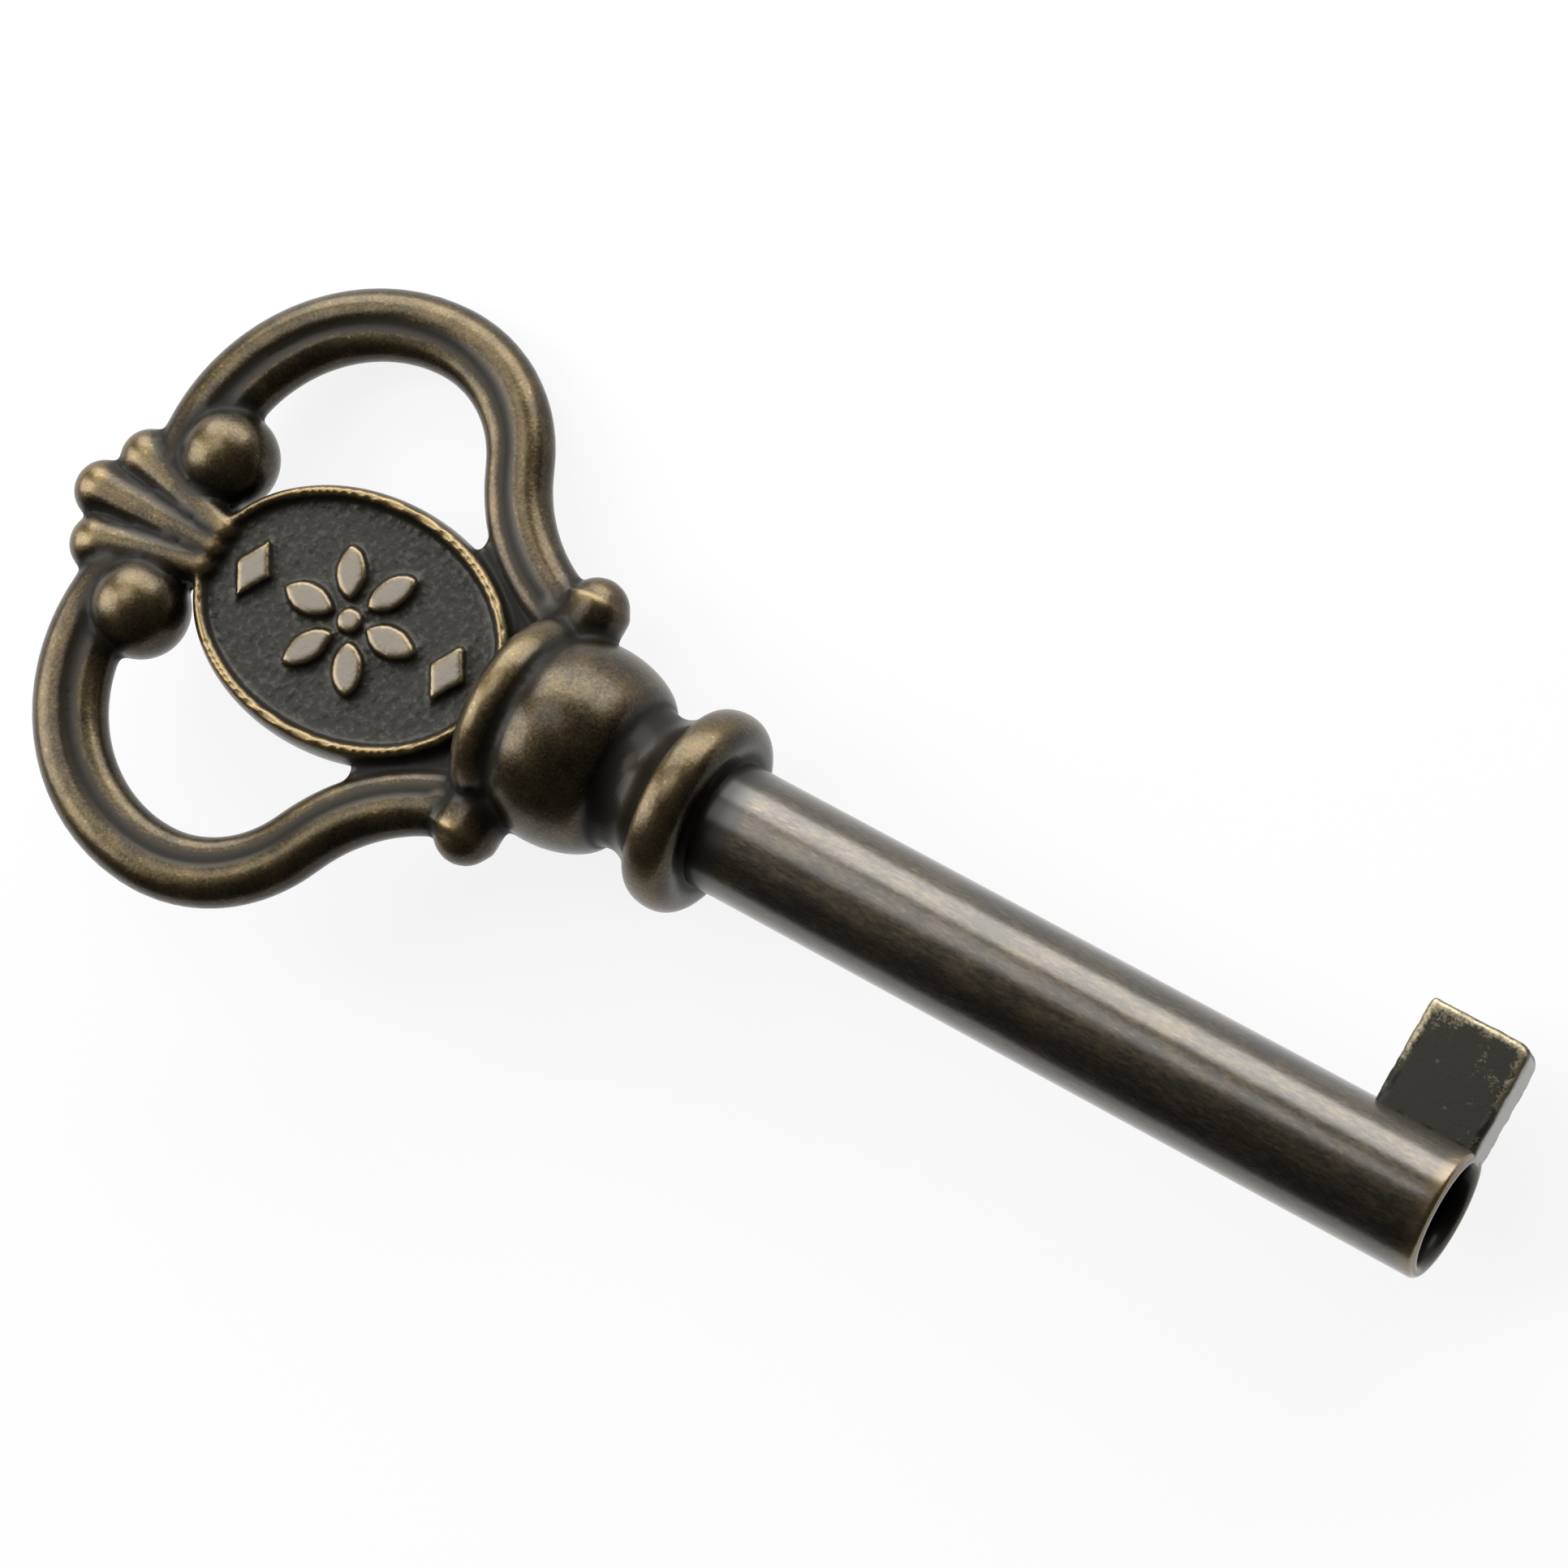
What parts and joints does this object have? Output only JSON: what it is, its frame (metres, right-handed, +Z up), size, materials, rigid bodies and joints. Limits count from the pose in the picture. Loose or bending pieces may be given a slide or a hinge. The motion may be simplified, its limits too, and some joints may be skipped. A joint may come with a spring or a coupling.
{
  "type": "antique key",
  "caption": "Antique bronzed furniture key with a scrolled bow, an oval medallion, a turned collar, a hollow round shank and a plain bit.",
  "frame": {"origin": "on the surface that the key lies on, under the middle of the box it fills", "axes": "+X along the shank from the bow to the tip, +Z up from the surface; the bit points to +Y and down, because the key lies rolled over towards its bit"},
  "size_m": [0.0738, 0.0302, 0.0098],
  "materials": {
    "antique_brass": "antiqued: dark in the recesses, rubbed bright on the high places"
  },
  "bodies": {
    "root": {"key": "antique_brass"}
  },
  "joints": []
}
